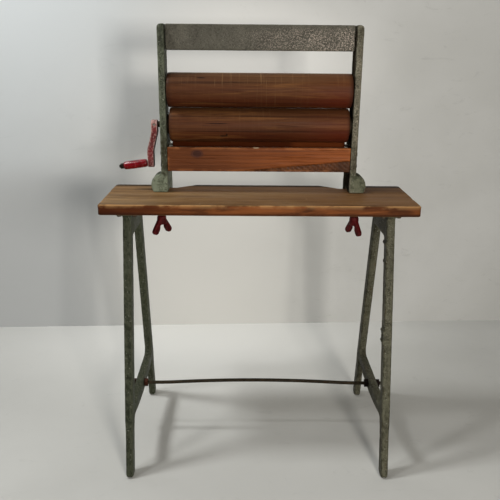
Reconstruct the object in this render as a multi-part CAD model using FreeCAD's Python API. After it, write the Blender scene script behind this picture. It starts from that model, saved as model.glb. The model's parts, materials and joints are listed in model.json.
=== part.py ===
import FreeCAD, Part
import math
import os

# Small hand-cranked clothes mangle, clamped to the back edge of a bench on two A-frames.
# Millimetres. +Z is up, +X is to the right of a person at the feed side, +Y is away from them.
# The origin is on the floor, under the middle of the bench.

Vector = FreeCAD.Vector
AXIS_X = Vector(1, 0, 0)
AXIS_Y = Vector(0, 1, 0)
AXIS_Z = Vector(0, 0, 1)

# Fits shared by every piece
running_clearance = 0.05
sliding_clearance = 0.15
seat_clearance = 0.3
end_float = 0.3

# Bench top
stand_height = 397.6
table_length = 463.0
table_depth = 146.0
table_thickness = 15.4
table_corner_radius = 3.0
table_overhang = 81.5
notch_depth = 23.0
notch_outer_clearance = 5.0
notch_inner_margin = 9.5
notch_run_out = 29.0

# A-frame legs
leg_end_inset = 37.5
leg_frame_thickness = 13.0
leg_width = 21.8
leg_top_half_span = 50.0
leg_foot_half_span = 135.0
leg_foot_radius = 6.0
leg_edge_radius = 2.6
apex_web_height = 40.0
apex_web_radius = 3.0
crossbar_axis_height = 91.0
crossbar_rise = 10.5
crossbar_end_drop = 4.0
crossbar_belly_drop = 13.0
crossbar_upper_fillet = 9.0
crossbar_lower_fillet = 6.0
flange_ledge = 9.9
flange_length = 112.0
flange_thickness = 5.0

# Wood screws that hold the A-frames under the bench
leg_screw_diameter = 4.0
leg_screw_head_diameter = 7.6
leg_screw_head_height = 3.0
leg_screw_bite = 9.0
leg_screw_inset_x = 5.0
leg_screw_inset_y = 9.0

# Tie rod
tie_rod_diameter = 5.6
tie_rod_rise = 5.0
tie_rod_bend_length = 45.0
tie_rod_straight_end = 9.0
tie_rod_overhang = 2.5
tie_nut_width = 13.0
tie_nut_thickness = 6.0

# Side frames with their clamps
frame_thickness = 10.5
frame_front_y = 12.0
frame_depth = 38.0
frame_height = 247.0
frame_edge_radius = 1.2
frame_top_radius = 5.0
flare_height = 150.0
flare_pull_top = 45.0
flare_pull_back = 6.0
flare_pull_up = 58.0
heel_rise = 5.0
spine_depth = 29.0
spine_corner_radius = 8.0
jaw_gap = 9.0
jaw_thickness = 12.0
jaw_setback = 6.0
lobe_reach = 16.4
lobe_height = 28.0
lobe_shoulder = 9.5
lobe_belly_height = 8.5
lobe_belly_rise = 13.0
lobe_undercut = 3.6
lobe_edge_radius = 3.6

# Clamp screws
thumbscrew_offset = 3.5
thumbscrew_setback = 19.0
thumbscrew_diameter = 8.0
jaw_boss_diameter = 20.0
pad_diameter = 14.0
pad_thickness = 4.0
spigot_diameter = 5.0
spigot_length = 2.2
thumb_boss_diameter = 15.0
thumb_boss_height = 14.5
thumb_boss_drop = 5.0
thumb_boss_radius = 2.5
wing_thickness = 7.0
wing_root_drop = 6.5
wing_root_radius = 4.6
wing_tip_radius = 5.2
wing_reach = 13.6
wing_drop = 23.0
left_wing_angle = 49.0
right_wing_angle = -63.0

# Top rail
rail_height = 37.0
rail_thickness = 10.0
rail_setback = 13.0
rail_edge_radius = 1.0

# Feed boards
front_board_height = 37.0
front_board_thickness = 10.0
front_board_lift = 33.0
rear_board_height = 37.0
rear_board_thickness = 9.0
rear_board_lift = 39.0
rear_board_end_gap = 5.0
board_edge_radius = 1.0
spacer_diameter = 10.0

# Countersunk screws through the side frames
frame_screw_diameter = 4.0
frame_screw_head_diameter = 8.0
frame_screw_head_height = 2.4
frame_screw_bite = 18.0
frame_screw_spacing = 18.0

# Rollers, axles and bearings
roller_diameter = 50.8
roller_end_radius = 1.5
nip_gap = 0.3
lower_axis_height = 102.0
axle_diameter = 9.0
axle_square = 9.0
axle_square_inset = 6.0
axle_end_inset = 0.6
bush_outer_diameter = 15.0
washer_diameter = 29.0
washer_thickness = 3.7
block_width = 14.0
block_height = 18.0
block_flange_thickness = 1.2
block_flange_lip = 3.0
upper_travel = 6.0

# Crank
crank_gap = 4.5
crank_radius = 59.0
arm_thickness = 10.2
arm_width = 14.0
arm_offset = 7.0
arm_bend_start = 12.0
arm_bend_drop = 27.0
crank_tang = 6.4
crank_pin_diameter = 3.0
grip_length = 36.6
grip_diameter = 13.0
grip_neck_diameter = 11.8
grip_end_radius = 2.0
grip_droop = 8.0
spindle_diameter = 5.0
end_nut_width = 7.6
end_nut_thickness = 5.0
spindle_overhang = 1.8

# Places that follow from the sizes above
table_top_z = stand_height + table_thickness
table_back_y = table_depth / 2
notch_floor_y = table_back_y - notch_depth
leg_frame_x = table_length / 2 - leg_end_inset
flange_width = leg_frame_thickness + 2 * flange_ledge
frame_clear_width = table_length - 2 * (table_overhang + frame_thickness)
frame_inner_x = frame_clear_width / 2
frame_outer_x = frame_inner_x + frame_thickness
frame_rear_y = frame_front_y + frame_depth
frame_top_z = table_top_z + frame_height
roller_y = frame_front_y + frame_depth / 2
lower_axis_z = table_top_z + lower_axis_height
upper_axis_z = lower_axis_z + roller_diameter + nip_gap
spine_front_y = notch_floor_y + seat_clearance
heel_y = spine_front_y + spine_depth
jaw_top_z = stand_height - jaw_gap
jaw_bottom_z = jaw_top_z - jaw_thickness
thumbscrew_x = frame_outer_x + thumbscrew_offset
thumbscrew_y = frame_front_y + thumbscrew_setback
front_board_z = table_top_z + front_board_lift
rear_board_z = table_top_z + rear_board_lift
front_board_y = frame_front_y
rear_board_y = frame_rear_y - rear_board_thickness
rail_y = frame_front_y + rail_setback
rail_z = frame_top_z - rail_height
arm_inner_x = -frame_outer_x - crank_gap
grip_root = Vector(arm_inner_x - arm_offset - arm_thickness, roller_y, lower_axis_z - crank_radius)
droop = math.radians(grip_droop)
grip_direction = Vector(-math.cos(droop), 0, -math.sin(droop))
grip_start = end_float + grip_neck_diameter / 2 * math.tan(droop)
grip_end = grip_start + grip_length


def polygon_face(points):
    """A flat face through the points, in order."""
    return Part.Face(Part.makePolygon(points + points[:1]))


def box(x, y, z):
    """A block given by its low and high limits along each axis."""
    size = (x[1] - x[0], y[1] - y[0], z[1] - z[0])
    return Part.makeBox(*size, Vector(x[0], y[0], z[0]))


def is_along_x(edge):
    limits = edge.BoundBox
    return limits.YLength < running_clearance and limits.ZLength < running_clearance


def lies_at_x(edge, x):
    limits = edge.BoundBox
    return abs(limits.XMin - x) < running_clearance and abs(limits.XMax - x) < running_clearance


def lies_at_y(edge, y):
    limits = edge.BoundBox
    return abs(limits.YMin - y) < running_clearance and abs(limits.YMax - y) < running_clearance


def round_edges(shape, radius, wanted):
    """Round the edges for which wanted(edge) holds."""
    return shape.makeFillet(radius, [edge for edge in shape.Edges if wanted(edge)])


def mirrored(shape):
    """The same piece for the other side of the mangle."""
    return shape.mirror(Vector(0, 0, 0), AXIS_X)


def hex_nut(base, axis, width, thickness, bore):
    """A hexagon nut whose base face is centred at base."""
    corner = width / math.sqrt(3)
    points = []
    for step in range(6):
        angle = math.radians(60 * step)
        points.append(Vector(corner * math.cos(angle), corner * math.sin(angle), 0))
    nut = polygon_face(points).extrude(AXIS_Z * thickness)
    nut = nut.cut(Part.makeCylinder(bore / 2, thickness))
    nut.Placement = FreeCAD.Placement(base, FreeCAD.Rotation(AXIS_Z, axis))
    return nut


def countersunk_screw(base, axis, shank, head, head_height, length):
    """A flat-head screw whose head is flush with the face at base."""
    screw = Part.makeCone(head / 2, shank / 2, head_height, base, axis)
    return screw.fuse(Part.makeCylinder(shank / 2, length, base, axis)).removeSplitter()


def screw_heights(bottom, height):
    """The two screw heights on one end of a board, about its middle."""
    middle = bottom + height / 2
    return (middle - frame_screw_spacing / 2, middle + frame_screw_spacing / 2)


rail_screw_y = rail_y + rail_thickness / 2
front_screw_y = front_board_y + front_board_thickness / 2
rear_screw_y = rear_board_y + rear_board_thickness / 2
rail_screw_places = [(rail_screw_y, z) for z in screw_heights(rail_z, rail_height)]
front_screw_places = [(front_screw_y, z) for z in screw_heights(front_board_z, front_board_height)]
rear_screw_places = [(rear_screw_y, z) for z in screw_heights(rear_board_z, rear_board_height)]


def frame_screws(places):
    """Screws driven inwards from the outer faces of both side frames."""
    screws = []
    for y, z in places:
        for side in (-1, 1):
            base = Vector(side * frame_outer_x, y, z)
            screws.append(countersunk_screw(base, AXIS_X * -side, frame_screw_diameter,
                                            frame_screw_head_diameter, frame_screw_head_height,
                                            frame_thickness + frame_screw_bite))
    return screws


def drilled_for_screws(shape, places):
    """Pilot holes for the side-frame screws, running_clearance larger than the shank."""
    radius = frame_screw_diameter / 2 + running_clearance
    reach = 2 * frame_outer_x
    for y, z in places:
        deep = frame_inner_x - frame_screw_bite
        for side in (-1, 1):
            hole = Part.makeCylinder(radius, reach, Vector(side * deep, y, z), AXIS_X * side)
            shape = shape.cut(hole)
    return shape


def leg_screw_places(side):
    """Screw positions in the flange of the A-frame on one side."""
    places = []
    for along_x in (-1, 1):
        for along_y in (-1, 1):
            x = side * leg_frame_x + along_x * (flange_width / 2 - leg_screw_inset_x)
            y = along_y * (flange_length / 2 - leg_screw_inset_y)
            places.append((x, y))
    return places


def make_table_top():
    half = table_length / 2
    outer = frame_outer_x + notch_outer_clearance
    inner = frame_inner_x - notch_inner_margin
    run_out = inner - notch_run_out
    outline = [Vector(-half, -table_back_y, stand_height), Vector(half, -table_back_y, stand_height),
               Vector(half, table_back_y, stand_height), Vector(outer, table_back_y, stand_height),
               Vector(outer, notch_floor_y, stand_height), Vector(inner, notch_floor_y, stand_height),
               Vector(run_out, table_back_y, stand_height), Vector(-run_out, table_back_y, stand_height),
               Vector(-inner, notch_floor_y, stand_height), Vector(-outer, notch_floor_y, stand_height),
               Vector(-outer, table_back_y, stand_height), Vector(-half, table_back_y, stand_height)]
    table = polygon_face(outline).extrude(AXIS_Z * table_thickness)

    def is_corner(edge):
        limits = edge.BoundBox
        at_end = abs(abs(edge.CenterOfMass.x) - half) < running_clearance
        return at_end and limits.ZLength > table_thickness / 2 and limits.YLength < running_clearance
    table = round_edges(table, table_corner_radius, is_corner)
    for side in (-1, 1):
        for x, y in leg_screw_places(side):
            hole = Part.makeCylinder(leg_screw_diameter / 2 + running_clearance, leg_screw_bite,
                                     Vector(x, y, stand_height), AXIS_Z)
            table = table.cut(hole)
    return table


def leg_outer_y(z):
    """Half span of the A-frame, outside to outside, at height z."""
    return leg_foot_half_span + (leg_top_half_span - leg_foot_half_span) * z / stand_height


def make_crossbar_belly(low_x, half, end_z):
    """The part of a crossbar that swells down below its ends, round the tie rod."""
    left = Vector(low_x, -half, end_z)
    right = Vector(low_x, half, end_z)
    lowest = Vector(low_x, 0, crossbar_axis_height - crossbar_belly_drop)
    outline = Part.Wire([Part.Arc(left, lowest, right).toShape(), Part.makeLine(right, left)])
    return Part.Face(outline).extrude(AXIS_X * leg_frame_thickness)


def make_leg_frame(side):
    low_x = side * leg_frame_x - leg_frame_thickness / 2
    high_x = low_x + leg_frame_thickness
    bar_low = crossbar_axis_height - crossbar_end_drop
    bar_high = crossbar_axis_height + crossbar_rise
    web_low = stand_height - apex_web_height

    def outline(levels):
        left = [Vector(low_x, -y, z) for y, z in levels]
        right = [Vector(low_x, y, z) for y, z in reversed(levels)]
        return polygon_face(left + right).extrude(AXIS_X * leg_frame_thickness)
    frame = outline([(leg_foot_half_span, 0), (leg_top_half_span, stand_height)])
    upper_window = outline([(leg_outer_y(z) - leg_width, z) for z in (bar_high, web_low)])
    lower_window = outline([(leg_outer_y(z) - leg_width, z) for z in (0, bar_low)])
    belly = make_crossbar_belly(low_x, leg_outer_y(bar_low) - leg_width, bar_low)
    frame = frame.cut(upper_window).cut(lower_window.cut(belly))

    def is_at(level):
        return lambda edge: is_along_x(edge) and abs(edge.CenterOfMass.z - level) < running_clearance

    def is_rim(edge):
        return lies_at_x(edge, low_x) or lies_at_x(edge, high_x)
    frame = round_edges(frame, crossbar_upper_fillet, is_at(bar_high))
    frame = round_edges(frame, crossbar_lower_fillet, is_at(bar_low))
    frame = round_edges(frame, apex_web_radius, is_at(web_low))
    frame = round_edges(frame, leg_foot_radius, is_at(0))
    frame = round_edges(frame, leg_edge_radius, is_rim)
    centre = side * leg_frame_x
    flange = box((centre - flange_width / 2, centre + flange_width / 2),
                 (-flange_length / 2, flange_length / 2), (stand_height - flange_thickness, stand_height))
    frame = frame.fuse(flange)
    for x, y in leg_screw_places(side):
        frame = frame.cut(Part.makeCylinder(leg_screw_diameter / 2 + running_clearance, flange_thickness,
                                            Vector(x, y, stand_height - flange_thickness), AXIS_Z))
    rod_hole = Part.makeCylinder(tie_rod_diameter / 2 + sliding_clearance, leg_frame_thickness,
                                 Vector(low_x, 0, crossbar_axis_height), AXIS_X)
    return frame.cut(rod_hole)


def make_leg_screws():
    screws = []
    seat_z = stand_height - flange_thickness
    for side in (-1, 1):
        for x, y in leg_screw_places(side):
            head = Part.makeCylinder(leg_screw_head_diameter / 2, leg_screw_head_height,
                                     Vector(x, y, seat_z - leg_screw_head_height), AXIS_Z)
            head = round_edges(head, leg_screw_head_height / 2,
                               lambda edge: edge.BoundBox.ZMax < seat_z - leg_screw_head_height / 2)
            shank = Part.makeCylinder(leg_screw_diameter / 2, flange_thickness + leg_screw_bite,
                                      Vector(x, y, seat_z), AXIS_Z)
            screws.append(head.fuse(shank))
    return Part.makeCompound(screws)


def make_tie_rod():
    """A round rod through both crossbars, bowed upwards between them by tangent arcs."""
    inner_face = leg_frame_x - leg_frame_thickness / 2
    end_x = leg_frame_x + leg_frame_thickness / 2 + tie_nut_thickness + tie_rod_overhang
    bend_x = inner_face - tie_nut_thickness - tie_rod_straight_end
    turn = 2 * math.atan(tie_rod_rise / bend_x)
    low_radius = tie_rod_bend_length / math.sin(turn)
    high_radius = (bend_x - tie_rod_bend_length) / math.sin(turn)
    level = crossbar_axis_height

    def low_point(angle):
        return (bend_x - low_radius * math.sin(angle), level + low_radius * (1 - math.cos(angle)))

    def high_point(angle):
        return (high_radius * math.sin(angle), level + tie_rod_rise - high_radius * (1 - math.cos(angle)))

    def at(place, side=1):
        return Vector(side * place[0], 0, place[1])
    path = Part.Wire([
        Part.makeLine(Vector(-end_x, 0, level), Vector(-bend_x, 0, level)),
        Part.Arc(Vector(-bend_x, 0, level), at(low_point(turn / 2), -1), at(low_point(turn), -1)).toShape(),
        Part.Arc(at(low_point(turn), -1), Vector(0, 0, level + tie_rod_rise), at(high_point(turn))).toShape(),
        Part.Arc(at(high_point(turn)), at(low_point(turn / 2)), Vector(bend_x, 0, level)).toShape(),
        Part.makeLine(Vector(bend_x, 0, level), Vector(end_x, 0, level))])
    section = Part.Wire(Part.makeCircle(tie_rod_diameter / 2, Vector(-end_x, 0, level), AXIS_X))
    return path.makePipeShell([section], True, False)


def make_tie_nuts():
    nuts = []
    bore = tie_rod_diameter + 2 * running_clearance
    for side in (-1, 1):
        for outward in (-1, 1):
            face_x = side * (leg_frame_x + outward * leg_frame_thickness / 2)
            base = Vector(face_x, 0, crossbar_axis_height)
            nuts.append(hex_nut(base, AXIS_X * (side * outward), tie_nut_width, tie_nut_thickness, bore))
    return Part.makeCompound(nuts)


def make_side_frame():
    """The right-hand side frame: a cast plate whose foot clamps round the back of the bench."""
    x = frame_inner_x
    sole_z = table_top_z
    jaw_front_y = frame_front_y + jaw_setback
    flare_start = Vector(x, frame_rear_y, sole_z + flare_height)
    heel_top = Vector(x, heel_y, sole_z + heel_rise)
    flare = Part.BezierCurve()
    flare.setPoles([flare_start, flare_start - AXIS_Z * flare_pull_top,
                    heel_top + Vector(0, -flare_pull_back, flare_pull_up), heel_top])
    corners = [heel_top, Vector(x, heel_y, jaw_bottom_z), Vector(x, jaw_front_y, jaw_bottom_z),
               Vector(x, jaw_front_y, jaw_top_z), Vector(x, spine_front_y, jaw_top_z),
               Vector(x, spine_front_y, sole_z), Vector(x, frame_front_y, sole_z),
               Vector(x, frame_front_y, frame_top_z), Vector(x, frame_rear_y, frame_top_z), flare_start]
    edges = [flare.toShape()]
    for first, second in zip(corners, corners[1:]):
        edges.append(Part.makeLine(first, second))
    plate = Part.Face(Part.Wire(edges)).extrude(AXIS_X * frame_thickness)

    def is_spine_corner(edge):
        middle = edge.CenterOfMass
        at_bottom = abs(middle.z - jaw_bottom_z) < running_clearance
        return is_along_x(edge) and at_bottom and middle.y > notch_floor_y
    plate = round_edges(plate, spine_corner_radius, is_spine_corner)

    def is_top_outer(edge):
        limits = edge.BoundBox
        return limits.ZMin > frame_top_z - running_clearance and lies_at_x(edge, frame_outer_x)
    plate = round_edges(plate, frame_top_radius, is_top_outer)

    def is_rim(edge):
        limits = edge.BoundBox
        clear_of_top = limits.ZMax < frame_top_z - frame_top_radius / 2 or limits.ZMin < table_top_z
        on_face = lies_at_x(edge, frame_inner_x) or lies_at_x(edge, frame_outer_x)
        return on_face and clear_of_top
    plate = round_edges(plate, frame_edge_radius, is_rim)

    frame = plate.fuse(make_foot_lobe())
    boss = Part.makeCylinder(jaw_boss_diameter / 2, jaw_thickness,
                             Vector(thumbscrew_x, thumbscrew_y, jaw_bottom_z), AXIS_Z)
    frame = frame.fuse(boss)
    screw_hole = Part.makeCylinder(thumbscrew_diameter / 2 + running_clearance, jaw_thickness,
                                   Vector(thumbscrew_x, thumbscrew_y, jaw_bottom_z), AXIS_Z)
    frame = frame.cut(screw_hole)
    bush_hole = Part.makeCylinder(bush_outer_diameter / 2, frame_thickness,
                                  Vector(x, roller_y, lower_axis_z), AXIS_X)
    frame = frame.cut(bush_hole)
    slot_half = block_width / 2 + sliding_clearance
    slot = box((frame_inner_x, frame_outer_x), (roller_y - slot_half, roller_y + slot_half),
               (upper_axis_z - block_height / 2, upper_axis_z + block_height / 2 + upper_travel))
    frame = frame.cut(slot)
    for y, z in rail_screw_places + front_screw_places + rear_screw_places:
        base = Vector(frame_outer_x, y, z)
        hole = countersunk_screw(base, -AXIS_X, frame_screw_diameter + 2 * running_clearance,
                                 frame_screw_head_diameter, frame_screw_head_height, frame_thickness)
        frame = frame.cut(hole)
    return frame


def make_foot_lobe():
    """The round swelling on the outside of the foot, over the clamp screw."""
    root_x = frame_outer_x - frame_thickness / 2
    belly_z = table_top_z + lobe_belly_height
    crown_z = table_top_z + lobe_height
    belly_x = frame_outer_x + lobe_reach
    sole_x = belly_x - lobe_undercut
    y = frame_front_y
    crown = Part.BezierCurve()
    crown.setPoles([Vector(frame_outer_x, y, crown_z), Vector(frame_outer_x + lobe_shoulder, y, crown_z),
                    Vector(belly_x, y, belly_z + lobe_belly_rise), Vector(belly_x, y, belly_z)])
    outline = Part.Wire([
        Part.makeLine(Vector(root_x, y, table_top_z), Vector(root_x, y, crown_z)),
        Part.makeLine(Vector(root_x, y, crown_z), Vector(frame_outer_x, y, crown_z)),
        crown.toShape(),
        Part.makeLine(Vector(belly_x, y, belly_z), Vector(sole_x, y, table_top_z)),
        Part.makeLine(Vector(sole_x, y, table_top_z), Vector(root_x, y, table_top_z))])
    lobe = Part.Face(outline).extrude(AXIS_Y * (notch_floor_y - frame_front_y))

    def is_outer_rim(edge):
        limits = edge.BoundBox
        at_end = lies_at_y(edge, frame_front_y) or lies_at_y(edge, notch_floor_y)
        return at_end and limits.XMax > frame_outer_x + lobe_undercut and limits.ZMax > belly_z
    return round_edges(lobe, lobe_edge_radius, is_outer_rim)


def make_top_rail():
    rail = box((-frame_inner_x, frame_inner_x), (rail_y, rail_y + rail_thickness), (rail_z, frame_top_z))
    rail = round_edges(rail, rail_edge_radius, is_along_x)
    return drilled_for_screws(rail, rail_screw_places)


def make_front_board():
    board = box((-frame_inner_x, frame_inner_x), (front_board_y, front_board_y + front_board_thickness),
                (front_board_z, front_board_z + front_board_height))
    board = round_edges(board, board_edge_radius, is_along_x)
    return drilled_for_screws(board, front_screw_places)


def make_rear_board():
    end_x = frame_inner_x - rear_board_end_gap
    board = box((-end_x, end_x), (rear_board_y, rear_board_y + rear_board_thickness),
                (rear_board_z, rear_board_z + rear_board_height))
    board = round_edges(board, board_edge_radius, is_along_x)
    return drilled_for_screws(board, rear_screw_places)


def make_rear_spacers():
    spacers = []
    bore = frame_screw_diameter / 2 + running_clearance
    for y, z in rear_screw_places:
        for side in (-1, 1):
            base = Vector(side * (frame_inner_x - rear_board_end_gap), y, z)
            sleeve = Part.makeCylinder(spacer_diameter / 2, rear_board_end_gap, base, AXIS_X * side)
            spacers.append(sleeve.cut(Part.makeCylinder(bore, rear_board_end_gap, base, AXIS_X * side)))
    return Part.makeCompound(spacers)


def ring_pair(outer, bore, start_x, length):
    """A ring on the lower axle at each side, from start_x outwards."""
    rings = []
    for side in (-1, 1):
        base = Vector(side * start_x, roller_y, lower_axis_z)
        ring = Part.makeCylinder(outer / 2, length, base, AXIS_X * side)
        rings.append(ring.cut(Part.makeCylinder(bore / 2, length, base, AXIS_X * side)))
    return Part.makeCompound(rings)


def square_bar(length, width, z):
    """A square bar along X, centred on the roller axis at height z."""
    return box((-length / 2, length / 2), (roller_y - width / 2, roller_y + width / 2),
               (z - width / 2, z + width / 2))


def make_roller(length, z):
    base = Vector(-length / 2, roller_y, z)
    roller = Part.makeCylinder(roller_diameter / 2, length, base, AXIS_X)
    roller = round_edges(roller, roller_end_radius, lambda edge: edge.BoundBox.XLength < running_clearance)
    roller = roller.cut(square_bar(length - 2 * axle_square_inset, axle_square, z))
    return roller.cut(Part.makeCylinder(axle_diameter / 2, length, base, AXIS_X))


def make_axle(length, z, left_x, right_x):
    """A round axle from left_x to right_x, square where it drives the roller."""
    journal = Part.makeCylinder(axle_diameter / 2, right_x - left_x, Vector(left_x, roller_y, z), AXIS_X)
    return journal.fuse(square_bar(length - 2 * axle_square_inset, axle_square, z)).removeSplitter()


def crank_cross_pin(diameter, length):
    """The pin across the crank arm and the axle."""
    centre_x = arm_inner_x - arm_thickness / 2
    base = Vector(centre_x, roller_y - length / 2, lower_axis_z)
    return Part.makeCylinder(diameter / 2, length, base, AXIS_Y)


def make_lower_axle(length):
    """The driven axle, with a square tang at the left for the crank."""
    axle = make_axle(length, lower_axis_z, arm_inner_x, frame_outer_x - axle_end_inset)
    tang = box((arm_inner_x - arm_thickness, arm_inner_x),
               (roller_y - crank_tang / 2, roller_y + crank_tang / 2),
               (lower_axis_z - crank_tang / 2, lower_axis_z + crank_tang / 2))
    return axle.fuse(tang).cut(crank_cross_pin(crank_pin_diameter, arm_width))


def make_bearing_blocks():
    """Flanged blocks that carry the upper axle and rise in the slots of the side frames."""
    blocks = []
    bore = axle_diameter / 2 + running_clearance
    low_z = upper_axis_z - block_height / 2
    for side in (-1, 1):
        limits = sorted((side * frame_inner_x, side * (frame_outer_x - axle_end_inset)))
        half = block_width / 2
        body = box(limits, (roller_y - half, roller_y + half), (low_z, low_z + block_height))
        limits = sorted((side * frame_inner_x, side * (frame_inner_x - block_flange_thickness)))
        half = block_width / 2 + block_flange_lip
        flange = box(limits, (roller_y - half, roller_y + half), (low_z, low_z + block_height))
        start = Vector(-frame_outer_x, roller_y, upper_axis_z)
        hole = Part.makeCylinder(bore, 2 * frame_outer_x, start, AXIS_X)
        blocks.append(body.fuse(flange).removeSplitter().cut(hole))
    return Part.makeCompound(blocks)


def make_crank_arm():
    """A flat arm with an outward set, square-holed at the axle and drilled for the spindle."""
    top_z = lower_axis_z + arm_width / 2
    bottom_z = lower_axis_z - crank_radius - arm_width / 2
    bend_high = lower_axis_z - arm_bend_start
    bend_low = bend_high - arm_bend_drop
    y = roller_y - arm_width / 2
    upper_x = arm_inner_x
    lower_x = arm_inner_x - arm_offset
    outline = [Vector(upper_x, y, top_z), Vector(upper_x, y, bend_high), Vector(lower_x, y, bend_low),
               Vector(lower_x, y, bottom_z), Vector(lower_x - arm_thickness, y, bottom_z),
               Vector(lower_x - arm_thickness, y, bend_low), Vector(upper_x - arm_thickness, y, bend_high),
               Vector(upper_x - arm_thickness, y, top_z)]
    arm = polygon_face(outline).extrude(AXIS_Y * arm_width)

    def is_end(edge):
        at_end = abs(edge.CenterOfMass.z - top_z) < running_clearance
        at_end = at_end or abs(edge.CenterOfMass.z - bottom_z) < running_clearance
        return at_end and is_along_x(edge)
    arm = round_edges(arm, arm_width / 2 - running_clearance, is_end)

    def is_bend(edge):
        at_bend = bend_low - running_clearance < edge.CenterOfMass.z < bend_high + running_clearance
        return at_bend and edge.BoundBox.YLength > arm_width / 2
    arm = round_edges(arm, arm_thickness, is_bend)
    tang_hole = box((upper_x - arm_thickness, upper_x),
                    (roller_y - crank_tang / 2, roller_y + crank_tang / 2),
                    (lower_axis_z - crank_tang / 2, lower_axis_z + crank_tang / 2))
    arm = arm.cut(tang_hole).cut(crank_cross_pin(crank_pin_diameter, arm_width))
    return arm.cut(make_spindle(spindle_diameter / 2))


def spindle_reach():
    """Length of the spindle outside the arm."""
    return grip_end + end_float + end_nut_thickness + spindle_overhang


def make_spindle(radius):
    """The pin that the grip turns on, drooping away from the arm."""
    inside = arm_thickness * math.cos(droop)
    start = grip_root - grip_direction * inside
    return Part.makeCylinder(radius, inside + spindle_reach(), start, grip_direction)


def make_grip():
    """A slightly barrelled grip, turned about the spindle."""
    middle = grip_diameter / 2
    neck = grip_neck_diameter / 2
    bore = spindle_diameter / 2 + running_clearance
    crest = Vector(middle, 0, (grip_start + grip_end) / 2)
    side = Part.Arc(Vector(neck, 0, grip_start), crest, Vector(neck, 0, grip_end)).toShape()
    outline = Part.Wire([Part.makeLine(Vector(bore, 0, grip_start), Vector(neck, 0, grip_start)), side,
                         Part.makeLine(Vector(neck, 0, grip_end), Vector(bore, 0, grip_end)),
                         Part.makeLine(Vector(bore, 0, grip_end), Vector(bore, 0, grip_start))])
    grip = Part.Face(outline).revolve(Vector(0, 0, 0), AXIS_Z, 360)

    def is_outer_end(edge):
        return edge.BoundBox.ZLength < running_clearance and edge.BoundBox.XMax > neck - running_clearance
    grip = round_edges(grip, grip_end_radius, is_outer_end)
    grip.Placement = FreeCAD.Placement(grip_root, FreeCAD.Rotation(AXIS_Z, grip_direction))
    return grip


def make_end_nut():
    base = grip_root + grip_direction * (grip_end + end_float)
    return hex_nut(base, grip_direction, end_nut_width, end_nut_thickness, spindle_diameter)


def make_thumbscrew(side, wing_angle):
    """A winged screw that pushes its pad up against the bench."""
    shoulder_z = stand_height - pad_thickness
    boss_top_z = jaw_bottom_z - thumb_boss_drop
    boss_low_z = boss_top_z - thumb_boss_height
    foot = Vector(0, 0, boss_low_z)
    shank = Part.makeCylinder(thumbscrew_diameter / 2, shoulder_z - boss_low_z, foot, AXIS_Z)
    spigot = Part.makeCylinder(spigot_diameter / 2, spigot_length, Vector(0, 0, shoulder_z), AXIS_Z)
    boss = Part.makeCylinder(thumb_boss_diameter / 2, thumb_boss_height, foot, AXIS_Z)
    boss = round_edges(boss, thumb_boss_radius, lambda edge: edge.BoundBox.ZLength < running_clearance)
    screw = boss.fuse(shank).fuse(spigot)
    root_z = boss_top_z - wing_root_drop
    for hand in (-1, 1):
        screw = screw.fuse(make_wing(hand, root_z))
    screw.rotate(Vector(0, 0, 0), AXIS_Z, wing_angle)
    screw.translate(Vector(side * thumbscrew_x, thumbscrew_y, 0))
    return screw


def make_wing(hand, root_z):
    """One flat wing that splays down and out from the middle of the boss."""
    y = -wing_thickness / 2
    root = Vector(hand * wing_root_radius / 2, y, root_z)
    tip = Vector(hand * wing_reach, y, root_z - wing_drop + wing_tip_radius)
    along = (tip - root).normalize()
    across = Vector(-along.z, 0, along.x)
    web = polygon_face([root + across * wing_root_radius, tip + across * wing_tip_radius,
                        tip - across * wing_tip_radius, root - across * wing_root_radius])
    wing = web.extrude(AXIS_Y * wing_thickness)
    wing = wing.fuse(Part.makeCylinder(wing_root_radius, wing_thickness, root, AXIS_Y))
    return wing.fuse(Part.makeCylinder(wing_tip_radius, wing_thickness, tip, AXIS_Y)).removeSplitter()


def make_pad(side):
    """The swivelling pad at the top of a clamp screw."""
    base = Vector(side * thumbscrew_x, thumbscrew_y, stand_height - pad_thickness)
    pad = Part.makeCylinder(pad_diameter / 2, pad_thickness, base, AXIS_Z)
    socket_radius = spigot_diameter / 2 + running_clearance
    socket = Part.makeCylinder(socket_radius, spigot_length + end_float, base, AXIS_Z)
    return pad.cut(socket)


lower_roller_length = frame_clear_width - 2 * (washer_thickness + end_float)
upper_roller_length = frame_clear_width - 2 * (block_flange_thickness + end_float)
axle_bore = axle_diameter + 2 * running_clearance
right_side_frame = make_side_frame()
axle_end_x = frame_outer_x - axle_end_inset
washer_x = frame_inner_x - washer_thickness

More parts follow.
